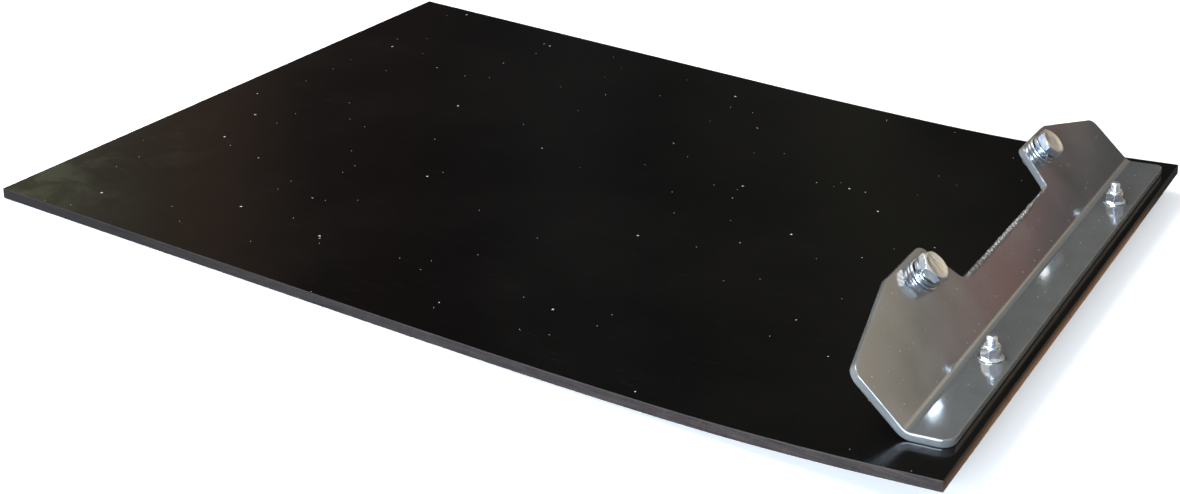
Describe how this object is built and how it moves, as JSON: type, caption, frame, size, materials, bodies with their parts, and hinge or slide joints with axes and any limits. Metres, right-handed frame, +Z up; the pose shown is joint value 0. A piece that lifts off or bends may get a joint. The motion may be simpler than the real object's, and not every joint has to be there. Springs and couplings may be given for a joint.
{
  "type": "plow blade side panel",
  "caption": "Curved black plastic side panel for a small snow plow blade, with a bent steel end bracket, lock-nutted carriage bolts and mounting bolts screwed through two ears.",
  "frame": {"origin": "centre of the whole part's outline, on the plane the sheet's straight part rests on", "axes": "+X along the sheet's long side towards the bracket, +Y along its short side, +Z up out of the sheet's bracket side"},
  "size_m": [0.5994, 0.457, 0.0643],
  "materials": {
    "panel_plastic": "glossy with fine scratches and dust, saw-cut matt edges",
    "bracket_paint": "gloss dark grey paint with slight orange peel",
    "zinc_bolt": "bright zinc plate",
    "zinc_nut": "bright zinc plate",
    "zinc_washer": "bright zinc plate",
    "nylon": "translucent off-white nylon"
  },
  "bodies": {
    "panel_assembly": {"poly_panel": "panel_plastic", "end_bracket": "bracket_paint", "carriage_bolt_near": "zinc_bolt", "carriage_bolt_far": "zinc_bolt", "flange_nut_near": "zinc_nut", "flange_nut_far": "zinc_nut", "nylon_insert_near": "nylon", "nylon_insert_far": "nylon"},
    "near_washers": {"lock_washer_near": "zinc_washer", "flat_washer_near": "zinc_washer"},
    "near_bolt": {"mounting_bolt_near": "zinc_bolt"},
    "far_washers": {"lock_washer_far": "zinc_washer", "flat_washer_far": "zinc_washer"},
    "far_bolt": {"mounting_bolt_far": "zinc_bolt"}
  },
  "joints": [
    {"name": "near_bolt_backout", "type": "slide", "parent": "panel_assembly", "child": "near_washers", "axis": [0.628, 0, 0.7782], "range_m": [0, 0.009]},
    {"name": "near_bolt_turn", "type": "hinge", "parent": "near_washers", "child": "near_bolt", "pos_m": [0.23373, -0.0915, 0.05063], "axis": [0.628, 0, 0.7782], "range_deg": [0, 2160]},
    {"name": "far_bolt_backout", "type": "slide", "parent": "panel_assembly", "child": "far_washers", "axis": [0.628, 0, 0.7782], "range_m": [0, 0.009]},
    {"name": "far_bolt_turn", "type": "hinge", "parent": "far_washers", "child": "far_bolt", "pos_m": [0.23373, 0.1185, 0.05063], "axis": [0.628, 0, 0.7782], "range_deg": [0, 2160]}
  ],
  "couplings": [
    {"joint": "near_bolt_turn", "follows": "near_bolt_backout", "rad_per_m": 4188.8},
    {"joint": "far_bolt_turn", "follows": "far_bolt_backout", "rad_per_m": 4188.8}
  ]
}
